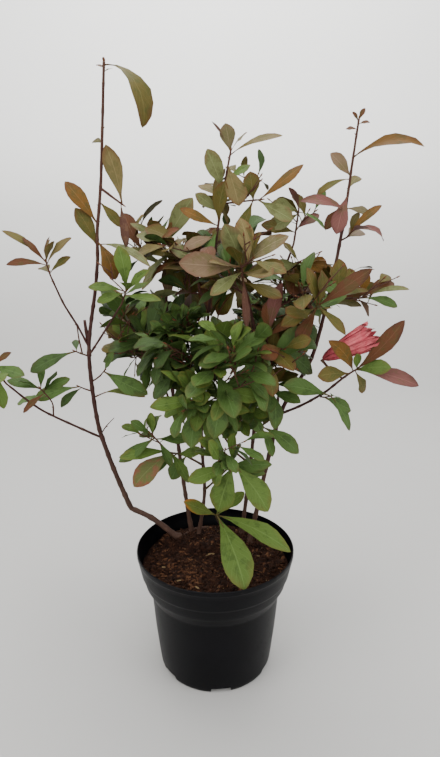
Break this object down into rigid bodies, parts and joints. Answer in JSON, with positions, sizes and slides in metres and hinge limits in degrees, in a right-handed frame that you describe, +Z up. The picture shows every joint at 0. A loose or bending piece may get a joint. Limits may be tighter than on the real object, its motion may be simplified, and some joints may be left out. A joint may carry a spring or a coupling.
{
  "type": "potted azalea",
  "caption": "Open potted azalea: thin upright woody stems with whorls of green, bronze and beige leaves and one pink bloom, in a round black nursery pot",
  "frame": {"origin": "centre of the pot's flat underside", "axes": "+Z up; -Y is the front of the plant, where the picture was taken from; +X to the right seen from the front"},
  "size_m": [0.4888, 0.2877, 0.692],
  "materials": {
    "pot_plastic": "satin black",
    "soil": "damp crumbly peat and bark",
    "bark": "thin matt bark",
    "leaf_green": "soft satin leaf",
    "leaf_bronze": "soft satin leaf",
    "leaf_beige": "soft matt leaf"
  },
  "bodies": {
    "root": {"pot": "pot_plastic", "soil": "soil", "stem_left_foot": "bark", "stem_left_lower": "bark", "stem_left_upper": "bark", "stem_back_left": "bark", "stem_centre": "bark", "stem_front": "bark", "stem_right": "bark", "stem_low_front": "bark", "bough_left_low": "bark", "bough_left_middle": "bark", "bough_left_inner": "bark", "bough_right_centre": "bark", "bough_right_low": "bark", "bough_bloom": "bark", "bough_mid_front": "bark", "bough_back_left": "bark", "bough_back_centre": "bark", "bough_back_right": "bark", "spray_left_tip": "leaf_bronze", "spray_left_middle": "leaf_bronze", "spray_left_inner": "leaf_green", "spray_left_low": "leaf_green", "spray_left_far": "leaf_green", "spur_left_high": "leaf_green", "spur_left_low": "leaf_green", "spur_left_inner": "leaf_green", "spur_left_drop": "leaf_green", "spray_low_left": "leaf_green", "spray_low_centre": "leaf_green", "spray_low_right": "leaf_green", "spray_mid_centre": "leaf_green", "spray_mid_right": "leaf_green", "spur_centre_right": "leaf_green", "spray_back_left_top": "leaf_green", "spray_mid_left": "leaf_green", "spray_tuft": "leaf_green", "spray_mid_dark": "leaf_green", "spray_mid_front": "leaf_green", "spray_centre_top": "leaf_beige", "spray_front_top": "leaf_beige", "spray_right_centre": "leaf_green", "spray_right_inner_top": "leaf_bronze", "spray_right_low": "leaf_bronze", "spray_right_middle": "leaf_bronze", "spray_right_upper": "leaf_bronze", "spray_right_tip": "leaf_bronze", "spray_bloom": "leaf_beige", "spray_right_skirt": "leaf_green", "spray_right_inner": "leaf_green", "spray_mid_upper": "leaf_green", "spray_right_deep": "leaf_green", "spray_upper_deep": "leaf_beige", "spray_back_left": "leaf_green", "spray_back_centre": "leaf_green", "spray_back_right": "leaf_green"}
  },
  "joints": []
}
